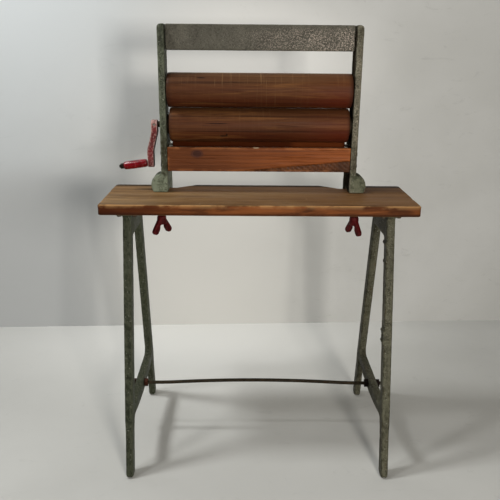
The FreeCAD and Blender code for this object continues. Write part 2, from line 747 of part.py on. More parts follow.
nodes = {
    "table_top": make_table_top(),
    "left_leg_frame": make_leg_frame(-1),
    "right_leg_frame": make_leg_frame(1),
    "leg_frame_screws": make_leg_screws(),
    "tie_rod": make_tie_rod(),
    "tie_rod_nuts": make_tie_nuts(),
    "left_side_frame": mirrored(right_side_frame),
    "right_side_frame": right_side_frame,
    "top_rail": make_top_rail(),
    "rail_screws": Part.makeCompound(frame_screws(rail_screw_places)),
    "front_board": make_front_board(),
    "rear_board": make_rear_board(),
    "feed_board_screws": Part.makeCompound(frame_screws(front_screw_places + rear_screw_places)),
    "rear_board_spacers": make_rear_spacers(),
    "lower_bushes": ring_pair(bush_outer_diameter, axle_bore, frame_inner_x, frame_thickness),
    "thrust_washers": ring_pair(washer_diameter, axle_bore, washer_x, washer_thickness),
    "lower_roller": make_roller(lower_roller_length, lower_axis_z),
    "lower_axle": make_lower_axle(lower_roller_length),
    "crank_arm": make_crank_arm(),
    "crank_cross_pin": crank_cross_pin(crank_pin_diameter, arm_width),
    "crank_spindle": make_spindle(spindle_diameter / 2),
    "crank_grip": make_grip(),
    "crank_end_nut": make_end_nut(),
    "upper_bearing_blocks": make_bearing_blocks(),
    "upper_roller": make_roller(upper_roller_length, upper_axis_z),
    "upper_axle": make_axle(upper_roller_length, upper_axis_z, -axle_end_x, axle_end_x),
    "left_thumbscrew": make_thumbscrew(-1, left_wing_angle),
    "right_thumbscrew": make_thumbscrew(1, right_wing_angle),
    "left_clamp_pad": make_pad(-1),
    "right_clamp_pad": make_pad(1),
}

os.makedirs("parts", exist_ok=True)
for name, shape in nodes.items():
    shape.exportStep("parts/" + name + ".step")
    print(name, "solids", len(shape.Solids), "volume", round(shape.Volume), "valid", shape.isValid())
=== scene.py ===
import json
import math
from collections import namedtuple

import bpy
import numpy as np
from mathutils import Matrix, Vector, geometry, noise

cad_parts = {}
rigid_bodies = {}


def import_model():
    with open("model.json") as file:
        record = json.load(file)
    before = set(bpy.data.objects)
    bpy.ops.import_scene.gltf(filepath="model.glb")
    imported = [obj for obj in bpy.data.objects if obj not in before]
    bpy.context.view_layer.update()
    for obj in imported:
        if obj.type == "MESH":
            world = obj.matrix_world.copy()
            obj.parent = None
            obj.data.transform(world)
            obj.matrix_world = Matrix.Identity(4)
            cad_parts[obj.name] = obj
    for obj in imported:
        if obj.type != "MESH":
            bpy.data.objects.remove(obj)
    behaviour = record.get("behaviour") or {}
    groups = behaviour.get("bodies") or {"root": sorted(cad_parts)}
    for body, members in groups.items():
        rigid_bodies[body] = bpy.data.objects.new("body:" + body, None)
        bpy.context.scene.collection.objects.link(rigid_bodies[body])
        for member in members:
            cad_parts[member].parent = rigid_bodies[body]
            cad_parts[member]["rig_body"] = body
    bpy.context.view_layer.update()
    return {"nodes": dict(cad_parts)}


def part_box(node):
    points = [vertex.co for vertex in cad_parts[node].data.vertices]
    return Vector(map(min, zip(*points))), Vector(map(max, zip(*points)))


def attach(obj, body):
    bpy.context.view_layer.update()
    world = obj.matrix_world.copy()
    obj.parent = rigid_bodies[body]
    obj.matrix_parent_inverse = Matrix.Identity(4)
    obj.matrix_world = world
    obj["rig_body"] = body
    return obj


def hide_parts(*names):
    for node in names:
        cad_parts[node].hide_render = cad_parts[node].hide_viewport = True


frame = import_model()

MM = 0.001
X, Y, Z = 0, 1, 2
scene = bpy.context.scene

# Materials by the names that this script gives them
finishes = {}

# A noise pattern: waves per metre along x, y and z, layers of detail, their roughness, and twist
Pattern = namedtuple("Pattern", "waves detail rough twist", defaults=(3.0, 0.55, 0.0))


def span(node, axis):
    """Lowest and highest of a CAD piece along one axis, in metres."""
    low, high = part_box(node)
    return low[axis], high[axis]


def middle(node, axis):
    """The middle of a CAD piece along one axis, in metres."""
    return sum(span(node, axis)) / 2


def shader_colour(tone):
    """A tone as a screen shows it, red, green and blue from 0 to 255, in the values that a shader takes."""
    shares = [c / 255 for c in tone]
    return tuple(c / 12.92 if c <= 0.04045 else ((c + 0.055) / 1.055) ** 2.4 for c in shares) + (1.0,)


class Finish:
    """The node graph of one material. Its patterns are fixed to the piece, in metres."""

    def __init__(self, name, gloss, metallic=0.0):
        self.name = name
        self.colour = None
        self.material = bpy.data.materials.new(name)
        self.material.use_nodes = True
        self.tree = self.material.node_tree
        self.shader = self.tree.nodes["Principled BSDF"]
        self.shader.inputs["Specular IOR Level"].default_value = gloss
        self.shader.inputs["Metallic"].default_value = metallic
        place = self.add("ShaderNodeTexCoord")
        self.point = place.outputs["Object"]
        self.facing = place.outputs["Normal"]
        self.x, self.y, self.z = self.add("ShaderNodeSeparateXYZ", {"Vector": self.point}).outputs

    def put(self, socket, value):
        """Feeds a socket from another node's output, or sets it to a value."""
        if isinstance(value, bpy.types.NodeSocket):
            self.tree.links.new(value, socket)
        else:
            socket.default_value = value

    def add(self, kind, inputs=None, **settings):
        """A new node with its settings, and its inputs by name or number."""
        node = self.tree.nodes.new(kind)
        for key, value in settings.items():
            setattr(node, key, value)
        for key, value in (inputs or {}).items():
            self.put(node.inputs[key], value)
        return node

    def math(self, operation, *values):
        """One step of arithmetic, by the name that Blender's Math node gives it."""
        return self.add("ShaderNodeMath", dict(enumerate(values)), operation=operation).outputs[0]

    def plus(self, first, second):
        return self.math("ADD", first, second)

    def less(self, first, second):
        return self.math("SUBTRACT", first, second)

    def times(self, first, second):
        return self.math("MULTIPLY", first, second)

    def spread(self, waves, shift):
        """Places on the piece, counted in waves and shifted."""
        inputs = {"Vector": self.point, "Scale": waves, "Location": shift}
        return self.add("ShaderNodeMapping", inputs).outputs[0]

    def noise(self, pattern, shift=(0, 0, 0)):
        """Noise from 0 to 1. A shift of its own keeps two uses of one pattern from looking alike."""
        inputs = {"Vector": self.spread(pattern.waves, shift), "Scale": 1.0, "Detail": pattern.detail,
                  "Roughness": pattern.rough, "Distortion": pattern.twist}
        return self.add("ShaderNodeTexNoise", inputs).outputs[0]

    def cells(self, waves, shift):
        """How far each point is from the nearest of many scattered ones."""
        inputs = {"Vector": self.spread(waves, shift), "Scale": 1.0}
        return self.add("ShaderNodeTexVoronoi", inputs).outputs["Distance"]

    def mask(self, value, low, high, most=1.0, least=0.0):
        """Goes softly from least to most as the value goes from low to high, or down to a lower high."""
        inputs = {"Value": value, "From Min": low, "From Max": high, "To Min": least, "To Max": most}
        return self.add("ShaderNodeMapRange", inputs, interpolation_type="SMOOTHSTEP").outputs[0]

    def mix(self, share, first, second):
        """The first colour with a share of the second; each is a tone or a node's output."""
        inputs = {0: share}
        for socket, colour in ((6, first), (7, second)):
            inputs[socket] = shader_colour(colour) if isinstance(colour, tuple) else colour
        return self.add("ShaderNodeMix", inputs, data_type="RGBA").outputs[2]

    def tint(self, share, colour, strength=None):
        """Lays a share of another colour over the one so far, times its strength if that is given."""
        if strength is not None:
            share = self.times(share, strength)
        self.colour = self.mix(share, self.colour, colour)

    def patches(self, pattern, shift, low, high, most=1.0, least=0.0):
        """Noise cut to a mask."""
        return self.mask(self.noise(pattern, shift), low, high, most, least)

    def attribute(self, name):
        """A value that the mesh holds at each point."""
        return self.add("ShaderNodeAttribute", attribute_name=name).outputs["Fac"]

    def facing_along(self, axis):
        """How far the surface faces along an axis, from -1 to 1."""
        return self.add("ShaderNodeSeparateXYZ", {"Vector": self.facing}).outputs[axis]

    def spot(self, centre, reach, ragged=0.0, waves=(120, 120, 120), core=0.55):
        """A soft patch round a point of the piece, with its own reach along each axis and a full core."""
        parts = []
        for value, place, size in zip((self.x, self.y, self.z), centre, reach):
            away = self.math("DIVIDE", self.less(value, place), size)
            parts.append(self.times(away, away))
        far = self.math("SQRT", self.plus(self.plus(parts[0], parts[1]), parts[2]))
        if ragged:
            far = self.plus(far, self.times(self.less(self.noise(Pattern(waves)), 0.5), ragged))
        return self.mask(far, 1.0, core)

    def close(self, rough, height=None, relief=0.0):
        """Gives the shader its colour, roughness and bumps, the relief in metres, and files the material."""
        self.put(self.shader.inputs["Base Color"], self.colour)
        self.put(self.shader.inputs["Roughness"], rough)
        if height is not None:
            bump = self.add("ShaderNodeBump", {"Height": height, "Distance": relief, "Strength": 1.0})
            self.put(self.shader.inputs["Normal"], bump.outputs[0])
        finishes[self.name] = self.material


# Woods. A pair of places, in metres, says where along an axis a change begins and where it is full
WOOD_RELIEF = 0.0005
RING_WARP = Pattern((2.4, 15, 15), 2, 0.5, 0.3)
FIBRES = Pattern((7, 430, 430), 5, 0.62, 0.1)
PORES = Pattern((20, 950, 950), 2, 0.5)
STAIN_CLOUDS = Pattern((5, 22, 22), 4, 0.6, 0.4)
LONG_STREAKS = Pattern((3.2, 150, 150), 4, 0.6, 0.2)


def wood_layers(finish, tones, pith, ring, wobble, seed, bold, grain):
    """Growth rings round a pith along X, fibres, pores and uneven stain. Sets the colour, gives the height.

    tones are light, medium and dark. pith is (y, z), ring a ring's width and wobble its unevenness: metres.
    bold and grain say how strongly the rings and the fibres show.
    """
    light, medium, dark = tones
    shift = (seed, seed * 1.7, seed * 0.6)
    warp = finish.noise(RING_WARP, shift)
    off_y = finish.less(finish.y, pith[0])
    off_z = finish.less(finish.z, pith[1])
    square = finish.plus(finish.times(off_y, off_y), finish.times(off_z, off_z))
    radius = finish.plus(finish.math("SQRT", square), finish.times(warp, wobble))
    band = finish.math("FRACT", finish.math("DIVIDE", radius, ring))
    late = finish.times(finish.mask(band, 0.35, 0.9), finish.mask(band, 1.0, 0.93))
    fibre = finish.noise(FIBRES, shift)
    pore = finish.patches(PORES, shift, 0.60, 0.76)
    finish.colour = finish.mix(finish.patches(STAIN_CLOUDS, shift, 0.32, 0.68), medium, light)
    finish.tint(late, dark, bold)
    finish.tint(finish.patches(LONG_STREAKS, shift, 0.50, 0.70, grain * 0.9), dark)
    finish.tint(finish.mask(fibre, 0.48, 0.70, grain), dark)
    finish.tint(pore, dark, grain)
    height = finish.less(fibre, finish.times(pore, 0.7))
    return finish.less(height, finish.times(late, 0.25))


BENCH_HAZE = Pattern((6, 14, 14), 4, 0.6, 0.5)
BENCH_RUTS = Pattern((11, 105, 60), 5, 0.7, 0.7)
BENCH_SCRATCHES = Pattern((260, 24, 60), 2, 0.5, 0.8)
BENCH_SIDE_PATCHES = Pattern((11, 30, 60), 4, 0.6, 0.6)
BENCH_SIDE_FIBRES = Pattern((14, 300, 520), 4, 0.6, 0.2)
BENCH_RUB = Pattern((38, 60, 60), 4, 0.6)
BENCH_DULLNESS = Pattern((8, 60, 60), 3)


def bench_wood():
    """The bench board: hazy and scratched on top, redder on its sides, rubbed along the front edge."""
    left_to_right = (-0.2, 0.2)
    hazy_left = (0.1, -0.2)
    under_rollers = (0.0, 0.035)
    between_frames = (0.16, 0.12)
    dark_back = (0.055, 0.063)
    dark_left = (-0.08, -0.17)
    dark_below = (0.4030, 0.3990)
    rubbed_front = (-0.04, -0.06)
    finish = Finish("bench_wood", gloss=0.08)
    tones = ((146, 115, 76), (122, 90, 55), (66, 41, 20))
    height = wood_layers(finish, tones, pith=(-0.02, 0.28), ring=0.011, wobble=0.02, seed=3.1, bold=0.5,
                         grain=0.6)
    finish.tint(finish.mask(finish.x, *left_to_right, 0.7), (98, 62, 31))
    haze = finish.patches(BENCH_HAZE, (9, 1, 4), 0.42, 0.75, 0.35)
    finish.tint(haze, (156, 130, 94), finish.mask(finish.x, *hazy_left, 1.0, 0.35))
    finish.tint(finish.patches(BENCH_RUTS, (6, 2, 2), 0.52, 0.68, 0.55), (60, 38, 21))
    finish.tint(finish.patches(BENCH_SCRATCHES, (2, 7, 1), 0.69, 0.76, 0.30), (160, 128, 90))
    away = finish.math("ABSOLUTE", finish.x)
    # Painted light: a paler patch on the top behind the rollers, between the frames
    painted_light_behind_rollers = finish.times(finish.mask(finish.y, *under_rollers), finish.mask(away, *between_frames))
    finish.tint(painted_light_behind_rollers, (170, 120, 74), 0.45)
    # Painted shade: a dark line along the back edge of the top
    finish.tint(finish.mask(finish.y, *dark_back, 0.9), (26, 17, 10))
    side = finish.mask(finish.math("ABSOLUTE", finish.facing_along(Z)), 0.75, 0.45)
    patches = finish.patches(BENCH_SIDE_PATCHES, (5, 5, 2), 0.36, 0.64)
    side_tone = finish.mix(patches, (72, 37, 15), (124, 70, 33))
    fibre = finish.patches(BENCH_SIDE_FIBRES, (1, 4, 2), 0.5, 0.72, 0.6)
    side_tone = finish.mix(fibre, side_tone, (56, 28, 12))
    side_tone = finish.mix(finish.mask(finish.x, *dark_left, 0.75), side_tone, (58, 21, 3))
    # Painted shade: the sides darker along their bottom edge
    side_tone = finish.mix(finish.mask(finish.z, *dark_below, 0.6), side_tone, (34, 17, 8))
    finish.tint(side, side_tone)
    worn = finish.times(finish.attribute("edge"), finish.patches(BENCH_RUB, (3, 3, 3), 0.40, 0.58))
    finish.tint(worn, (172, 131, 84), finish.mask(finish.y, *rubbed_front, 0.95, 0.1))
    rough = finish.mask(finish.noise(BENCH_DULLNESS), 0.3, 0.7, 0.66, 0.5)
    finish.close(rough, height, WOOD_RELIEF)


ROLLER_RADIUS = (span("upper_roller", Z)[1] - span("upper_roller", Z)[0]) / 2
ROLLER_TURN_WARP = Pattern((9, 40, 40), 3, 0.6, 0.4)
ROLLER_STAIN = Pattern((4, 30, 30), 4, 0.6, 0.6)
ROLLER_GOLD = Pattern((6.5, 120, 120), 5, 0.66, 0.6)
ROLLER_SOOT = Pattern((2.2, 170, 170), 4, 0.62, 0.4)
ROLLER_LATHE_MARKS = Pattern((300, 9, 9), 3, 0.6, 0.2)
ROLLER_SHADE = Pattern((12, 40, 40), 3, 0.6, 0.3)
DARK_WOOD_DULLNESS = Pattern((10, 90, 90), 3)
CRACK_WAVES = (60, 500, 500)


def roller_wood(name, axis, pith, seed, cracks=(), top_sheen=0.0, marks=0.0, shade=0.0):
    """Dark stained softwood round an axis at (y, z): browner above it, redder below and on the right.

    pith is counted from the axis. cracks are pairs of a place and a reach. top_sheen, marks and shade say
    how strongly the browner painted sheen on top, the lathe marks and the painted shade over the board
    behind the rollers show.
    """
    marked_right = (0.06, 0.01)
    marked_left = (-0.10, -0.07)
    redder_right = (0.03, 0.13)
    shaded_ends = (0.129, 0.1362)
    bright_left = (0.045, 0.06)
    bright_right = (0.134, 0.126)
    finish = Finish(name, gloss=0.0 if shade else 0.1)
    tones = ((90, 53, 28), (78, 43, 22), (42, 18, 7))
    centre = (axis[0] + pith[0], axis[1] + pith[1])
    height = wood_layers(finish, tones, centre, ring=0.0052, wobble=0.012, seed=seed, bold=0.16, grain=0.42)
    level = finish.math("DIVIDE", finish.less(finish.z, axis[1]), ROLLER_RADIUS)
    warp = finish.less(finish.noise(ROLLER_TURN_WARP, (seed, 1, 1)), 0.5)
    turn = finish.plus(level, finish.times(warp, 0.7))
    # Painted sheen: the upper half lighter and browner, where the light falls on it
    finish.tint(finish.mask(turn, 0.0, 0.75, top_sheen), (92, 66, 41))
    # Painted shade: the lower half darker and redder
    finish.tint(finish.mask(turn, -0.1, -0.7, 0.7), (60, 21, 8))
    finish.tint(finish.patches(ROLLER_STAIN, (seed, 2, 8), 0.45, 0.75, 0.5), (62, 27, 11))
    finish.tint(finish.patches(ROLLER_GOLD, (seed, 5, 1), 0.50, 0.66, 0.5), (118, 77, 40))
    finish.tint(finish.patches(ROLLER_SOOT, (2, seed, 9), 0.53, 0.68, 0.6), (38, 16, 7))
    rubbed = finish.patches(ROLLER_LATHE_MARKS, (8, seed, 1), 0.56, 0.68, marks)
    rubbed = finish.times(rubbed, finish.mask(turn, 0.1, 0.6, 1.0, 0.3))
    rubbed = finish.times(rubbed, finish.mask(finish.x, *marked_right, 1.0, 0.3))
    finish.tint(rubbed, (134, 104, 68), finish.mask(finish.x, *marked_left, 1.0, 0.2))
    redder = finish.times(finish.mask(finish.x, *redder_right), finish.mask(turn, 0.5, -0.4, 0.5, 0.15))
    finish.tint(redder, (92, 32, 17))
    for place, reach in cracks:
        crack = finish.spot(place, reach, 1.1, CRACK_WAVES)
        finish.tint(crack, (24, 10, 5), 0.85)
        height = finish.less(height, finish.times(crack, 1.6))
    # Painted shade near both ends, where the side frames shade the rollers, over their darker end grain
    finish.tint(finish.mask(finish.math("ABSOLUTE", finish.x), *shaded_ends, 0.6), (44, 24, 15))
    if shade:
        # Painted shade over the whole board behind the rollers, with a painted lit part towards its right
        finish.tint(finish.patches(ROLLER_SHADE, (3, seed, 5), 0.62, 0.42, shade, shade * 0.55), (60, 23, 9))
        bright = finish.times(finish.mask(finish.x, *bright_left), finish.mask(finish.x, *bright_right))
        finish.tint(bright, (104, 52, 23), 0.5)
    rough = finish.mask(finish.noise(DARK_WOOD_DULLNESS), 0.3, 0.7, 0.6, 0.46)
    finish.close(rough, height, WOOD_RELIEF)


SAW_MARKS = Pattern((330, 60, 130), 3, 0.55, 0.5)
FEED_RUB = Pattern((45, 90, 90), 4)


def feed_wood():
    """The front feed board: reddish and varnished, with a knot, a pale chip and a rough-sawn lower right."""
    dark_left = (-0.11, 0.09)
    bright_right = (0.04, 0.12)
    dark_end = (0.095, 0.132)
    knot_place, knot_reach = (-0.094, 0.012, 0.4735), (0.0115, 0.02, 0.0085)
    chip_place, chip_reach = (-0.0045, 0.012, 0.4829), (0.0062, 0.006, 0.0016)
    finish = Finish("feed_wood", gloss=0.12)
    tones = ((150, 81, 34), (128, 67, 28), (76, 37, 15))
    height = wood_layers(finish, tones, pith=(0.02, 0.60), ring=0.0065, wobble=0.016, seed=5.3, bold=0.34,
                         grain=0.58)
    darker = finish.less(1.0, finish.mask(finish.x, *dark_left))
    finish.tint(darker, (80, 42, 19), 0.8)
    finish.tint(finish.mask(finish.x, *bright_right, 0.2), (158, 85, 36))
    knot = finish.spot(knot_place, knot_reach, 0.5)
    rings = finish.math("FRACT", finish.times(knot, 3.0))
    knot_tone = finish.mix(finish.mask(rings, 0.2, 0.8), (50, 25, 20), (80, 44, 34))
    finish.tint(knot, knot_tone, 0.85)
    sawn = finish.attribute("sawn")
    sawn_tone = finish.mix(finish.patches(SAW_MARKS, (4, 4, 4), 0.43, 0.57), (52, 32, 19), (86, 54, 32))
    finish.tint(sawn, sawn_tone, 0.8)
    finish.tint(finish.spot(chip_place, chip_reach, 0.4), (190, 166, 134))
    worn = finish.times(finish.attribute("edge"), finish.mask(finish.noise(FEED_RUB), 0.40, 0.62))
    finish.tint(worn, (168, 106, 60), 0.5)
    end = finish.times(finish.mask(finish.x, *dark_end), sawn)
    finish.tint(end, (48, 31, 19), 0.6)
    rough = finish.mask(finish.noise(DARK_WOOD_DULLNESS), 0.3, 0.7, 0.56, 0.42)
    finish.close(rough, height, WOOD_RELIEF)


# Paints
CAST_RELIEF = 0.0007
CAST_MOTTLE = Pattern((38, 38, 26), 5, 0.65, 0.4)
CAST_GRAIN = Pattern((640, 640, 640), 3, 0.6)
CAST_PATCHES = Pattern((24, 24, 18), 3, 0.6, 0.2)
CAST_PITS = Pattern((430, 430, 430), 3, 0.6)
CAST_FOOT_STAIN = Pattern((85, 85, 85), 5, 0.7, 0.5)
CAST_RUNS = Pattern((150, 150, 9), 3, 0.6, 0.4)
CAST_DOT_PATCHES = Pattern((120, 120, 120), 2, 0.5)
CAST_CHIPS = Pattern((210, 210, 120), 4, 0.65)
CAST_LUMPS = Pattern((170, 170, 170), 2, 0.5)
CAST_DOT_WAVES = (330, 330, 330)


def cast_paint(name, base, deep, fleck, bare, speckle, seed, inward_light_and_shade, shades=(), drift=None, streak=0.0,
               rub=0.7, foot=None, bright_inside=False, gloss=0.06):
    """Old brushed paint on a rough casting: mottled, flecked where the grain is worn through, bare on edges.

    inward_light_and_shade is a tone and its share for the sides that face the mangle's middle: painted light
    on some pieces, painted shade with some grime on others. shades are two heights, a share and a tone each,
    on the front half only where the paint has streaks. drift is two pairs of places, along x and z, between
    which the flecks come in. streak is how strongly brown runs show. foot is the chalky tone of a side
    frame's foot.
    """
    front_half = (0.02, -0.02)
    foot_heights = (0.452, 0.436)
    finish = Finish(name, gloss)
    shift = (seed, seed * 0.7, seed * 1.9)
    mottle = finish.noise(CAST_MOTTLE, shift)
    finish.colour = finish.mix(finish.mask(mottle, 0.30, 0.70), deep, base)
    grain = finish.noise(CAST_GRAIN, shift)
    amount = finish.patches(CAST_PATCHES, shift, 0.30, 0.60, 1.0, 0.35)
    if drift:
        places, heights = drift
        along = finish.mask(finish.x, *places, 1.0, 0.08)
        amount = finish.times(along, finish.plus(amount, 0.35))
        amount = finish.times(amount, finish.mask(finish.z, *heights, 1.0, 0.2))
    flecks = finish.times(finish.mask(grain, 0.49, 0.60), amount)
    finish.tint(flecks, fleck, speckle)
    pits = finish.patches(CAST_PITS, (seed, 4, 4), 0.46, 0.34)
    finish.tint(pits, (32, 32, 25), 0.35 if drift else 0.6)
    front = finish.mask(finish.y, *front_half, 1.0, 0.0 if streak else 1.0)
    for start, end, share, dark in shades:
        finish.tint(finish.mask(finish.z, start, end, share), dark, front)
    outward = finish.times(finish.facing_along(X), finish.math("SIGN", finish.x))
    # Painted light and shade: the sides that face the middle take a lighter or darker tone of their own,
    # some of the dark being grime
    inward_shading_tone, inward_shading_share = inward_light_and_shade
    finish.tint(finish.mask(outward, -0.3, -0.75, inward_shading_share), inward_shading_tone)
    if foot:
        chalky = finish.mix(finish.patches(CAST_FOOT_STAIN, (1, seed, 2), 0.40, 0.58), (70, 74, 58), foot)
        low = finish.mask(finish.z, *foot_heights)
        # Unless bright_inside, the chalky foot tone stays off the inward side, which keeps its painted shade
        if not bright_inside:
            low = finish.times(low, finish.mask(outward, -0.6, -0.2))
        finish.tint(low, chalky, 0.8)
    if streak:
        finish.tint(finish.patches(CAST_RUNS, (seed, 8, 3), 0.54, 0.72, streak), (80, 66, 47))
    finish.tint(finish.attribute("hollow"), (30, 28, 21), 0.6)
    dots = finish.mask(finish.cells(CAST_DOT_WAVES, (seed, 3, seed)), 0.26, 0.16)
    dots = finish.times(dots, finish.patches(CAST_DOT_PATCHES, (7, seed, 7), 0.50, 0.62))
    finish.tint(dots, (176, 176, 162), 0.15 if drift else 0.6)
    worn = finish.times(finish.attribute("edge"), finish.patches(CAST_CHIPS, (2, seed, 6), 0.40, 0.58))
    finish.tint(worn, bare, rub)
    rough = finish.mask(mottle, 0.3, 0.7, 0.62, 0.42)
    height = finish.plus(finish.times(grain, 0.8), finish.times(pits, -0.6))
    height = finish.plus(height, finish.noise(CAST_LUMPS, shift))
    finish.close(rough, height, CAST_RELIEF)


GLOSS_RELIEF = 0.0003
GLOSS_CLOUDS = Pattern((90, 90, 90), 4, 0.6, 0.3)


def gloss_paint(name, base, deep, scuff, amount, rough, seed, gloss, fine=1.0, right_side_shade=0.0, bald=None,
                fade=(0.55, 0.66)):
    """Brushed enamel with scuffs, worn pale where hands and cloth rub it.

    fine makes the scuffs smaller. right_side_shade is how strongly painted shade darkens what faces right.
    bald is the place and reach of a patch that is worn more. fade is where on the wear pattern the scuffs
    begin and are full.
    """
    smooth, dull = rough
    finish = Finish(name, gloss)
    shift = (seed, seed * 1.3, seed * 0.4)
    finish.colour = finish.mix(finish.patches(GLOSS_CLOUDS, shift, 0.35, 0.65), deep, base)
    rub = finish.noise(Pattern((260 * fine, 260 * fine, 190 * fine), 5, 0.7, 0.5), shift)
    wear = finish.plus(rub, finish.times(finish.attribute("edge"), 0.16))
    if bald:
        wear = finish.plus(wear, finish.times(finish.spot(*bald), 0.10))
    finish.tint(finish.mask(wear, *fade, amount), scuff)
    finish.tint(finish.attribute("hollow"), (24, 8, 8), 0.7)
    # Painted shade on the sides that face right
    if right_side_shade:
        finish.tint(finish.mask(finish.facing_along(X), 0.1, 0.6, right_side_shade), (18, 5, 6))
    finish.close(finish.mask(rub, 0.35, 0.7, dull, smooth), rub, GLOSS_RELIEF)


# Metals
METAL_RELIEF = 0.0004
METAL_CLOUDS = Pattern((120, 120, 120), 5, 0.65, 0.4)
METAL_SPECKS = Pattern((480, 480, 480), 4, 0.7)


def bare_metal(name, base, stain, rust, amount, rough, seed, metallic=0.0, black=None):
    """Old metal with stain and specks of rust, turning black between the two places along x in black."""
    finish = Finish(name, 0.5 if metallic else 0.1, metallic)
    shift = (seed, seed * 2.1, seed * 0.8)
    cloud = finish.noise(METAL_CLOUDS, shift)
    finish.colour = finish.mix(finish.mask(cloud, 0.36, 0.66), base, stain)
    specks = finish.noise(METAL_SPECKS, shift)
    finish.tint(finish.mask(specks, 0.50, 0.64, amount), rust)
    if black:
        finish.tint(finish.mask(finish.x, *black, 0.88), (14, 11, 9))
    finish.close(finish.mask(cloud, 0.3, 0.7, rough + 0.2, rough), specks, METAL_RELIEF)


# Every finish, and the places of what stands out on them
lower_axis = (middle("lower_roller", Y), middle("lower_roller", Z))
upper_axis = (middle("upper_roller", Y), middle("upper_roller", Z))
rear_board_axis = (middle("rear_board", Y), 0.47)
upper_cracks = [((-0.087, 0.004, 0.5848), (0.0085, 0.02, 0.0011))]
lower_cracks = [((-0.062, 0.0, 0.5193), (0.021, 0.02, 0.0008)),
                ((-0.053, 0.0, 0.5003), (0.0085, 0.02, 0.0017)),
                ((-0.049, 0.0, 0.5025), (0.0016, 0.02, 0.0026))]
crank_bald_patch = ((-0.1595, 0.02, 0.526), (0.016, 0.03, 0.013))
bench_wood()
roller_wood("upper_wood", upper_axis, pith=(0.014, -0.012), seed=2.2, cracks=upper_cracks, top_sheen=0.6,
            marks=0.48)
roller_wood("lower_wood", lower_axis, pith=(0.010, 0.016), seed=7.9, cracks=lower_cracks, top_sheen=0.30,
            marks=0.16)
roller_wood("rear_wood", rear_board_axis, pith=(0.05, 0.1), seed=4.4, shade=0.85)
feed_wood()
cast_paint("left_leg_paint", base=(53, 57, 42), deep=(38, 41, 29), fleck=(94, 96, 79),
           bare=(80, 82, 67), speckle=0.42, seed=1.4, inward_light_and_shade=((76, 80, 66), 0.7),
           shades=[(0.36, 0.26, 0.6, (36, 39, 29))], streak=0.15, rub=0.6)
cast_paint("right_leg_paint", base=(74, 73, 58), deep=(54, 52, 40), fleck=(118, 114, 97),
           bare=(100, 98, 82), speckle=0.65, seed=1.9, inward_light_and_shade=((36, 34, 25), 0.6), streak=0.5,
           rub=0.6)
cast_paint("left_frame_paint", base=(70, 76, 60), deep=(50, 54, 41), fleck=(124, 126, 108),
           bare=(108, 112, 95), speckle=0.6, seed=4.2, inward_light_and_shade=((62, 66, 51), 0.5),
           shades=[(0.61, 0.64, 0.8, (38, 39, 31)), (0.515, 0.485, 0.8, (44, 37, 21))],
           foot=(135, 144, 123), bright_inside=True)
cast_paint("right_frame_paint", base=(112, 106, 91), deep=(76, 72, 60), fleck=(160, 151, 132),
           bare=(118, 114, 98), speckle=0.95, seed=4.9, inward_light_and_shade=((32, 26, 18), 0.92),
           shades=[(0.60, 0.65, 0.65, (40, 38, 29)), (0.50, 0.48, 0.5, (42, 37, 22))],
           foot=(112, 114, 94), gloss=0.0)
cast_paint("rail_paint", base=(92, 89, 79), deep=(73, 70, 62), fleck=(174, 160, 147),
           bare=(90, 88, 75), speckle=0.9, seed=6.7, inward_light_and_shade=((30, 28, 20), 0.7),
           drift=((-0.06, 0.13), (0.659, 0.646)), rub=0.3)
gloss_paint("crank_paint", base=(106, 31, 34), deep=(78, 18, 20), scuff=(184, 152, 143),
            amount=0.72, rough=(0.45, 0.65), seed=2.6, gloss=0.15, fine=1.7, right_side_shade=0.9,
            bald=crank_bald_patch, fade=(0.48, 0.72))
gloss_paint("grip_paint", base=(120, 5, 18), deep=(88, 3, 10), scuff=(176, 90, 92),
            amount=0.2, rough=(0.16, 0.34), seed=5.5, gloss=0.5, fine=0.6)
gloss_paint("screw_paint", base=(78, 16, 17), deep=(50, 9, 10), scuff=(106, 44, 42),
            amount=0.3, rough=(0.45, 0.6), seed=8.1, gloss=0.08)
bare_metal("steel", base=(150, 146, 138), stain=(104, 98, 90), rust=(96, 62, 40),
           amount=0.5, rough=0.34, metallic=0.9, seed=1.1)
bare_metal("old_steel", base=(70, 65, 56), stain=(46, 41, 34), rust=(74, 46, 29),
           amount=0.6, rough=0.5, seed=1.7)
bare_metal("dark_iron", base=(41, 36, 24), stain=(28, 24, 15), rust=(74, 50, 29),
           amount=0.4, rough=0.5, seed=3.7)
bare_metal("black_iron", base=(34, 25, 16), stain=(20, 14, 9), rust=(52, 36, 22),
           amount=0.3, rough=0.6, seed=2.9)
bare_metal("rusty_iron", base=(54, 27, 15), stain=(31, 18, 11), rust=(88, 43, 21),
           amount=0.55, rough=0.6, seed=9.2, black=(-0.05, 0.05))
bare_metal("brass", base=(168, 140, 82), stain=(116, 94, 54), rust=(84, 66, 40),
           amount=0.4, rough=0.32, metallic=0.9, seed=6.1)


# Meshes
def dress(obj, finish):
    """Gives an object one finish in place of what it had."""
    obj.data.materials.clear()
    obj.data.materials.append(finishes[finish])


def added(name, data):
    """A new object in the scene."""
    obj = bpy.data.objects.new(name, data)
    scene.collection.objects.link(obj)
    return obj


def built(name, points, faces):
    """A mesh of points, in metres, and faces."""
    mesh = bpy.data.meshes.new(name)
    mesh.from_pydata(points, [], faces)
    return mesh


def piece(name, mesh, finish, node):
    """A finished mesh that stands for a CAD node and moves with its body."""
    obj = added(name, mesh)
    dress(obj, finish)
    mesh.shade_smooth()
    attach(obj, frame["nodes"][node]["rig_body"])
    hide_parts(node)


def triples(items, key):
    """Three values for each of a mesh's items, one row each: their places in metres, or their directions."""
    values = np.empty(len(items) * 3, np.float32)
    items.foreach_get(key, values)
    return values.reshape(-1, 3).astype(float)


def move(mesh, points):
    """Puts a mesh's points in new places."""
    mesh.vertices.foreach_set("co", points.astype(np.float32).ravel())
    mesh.update()


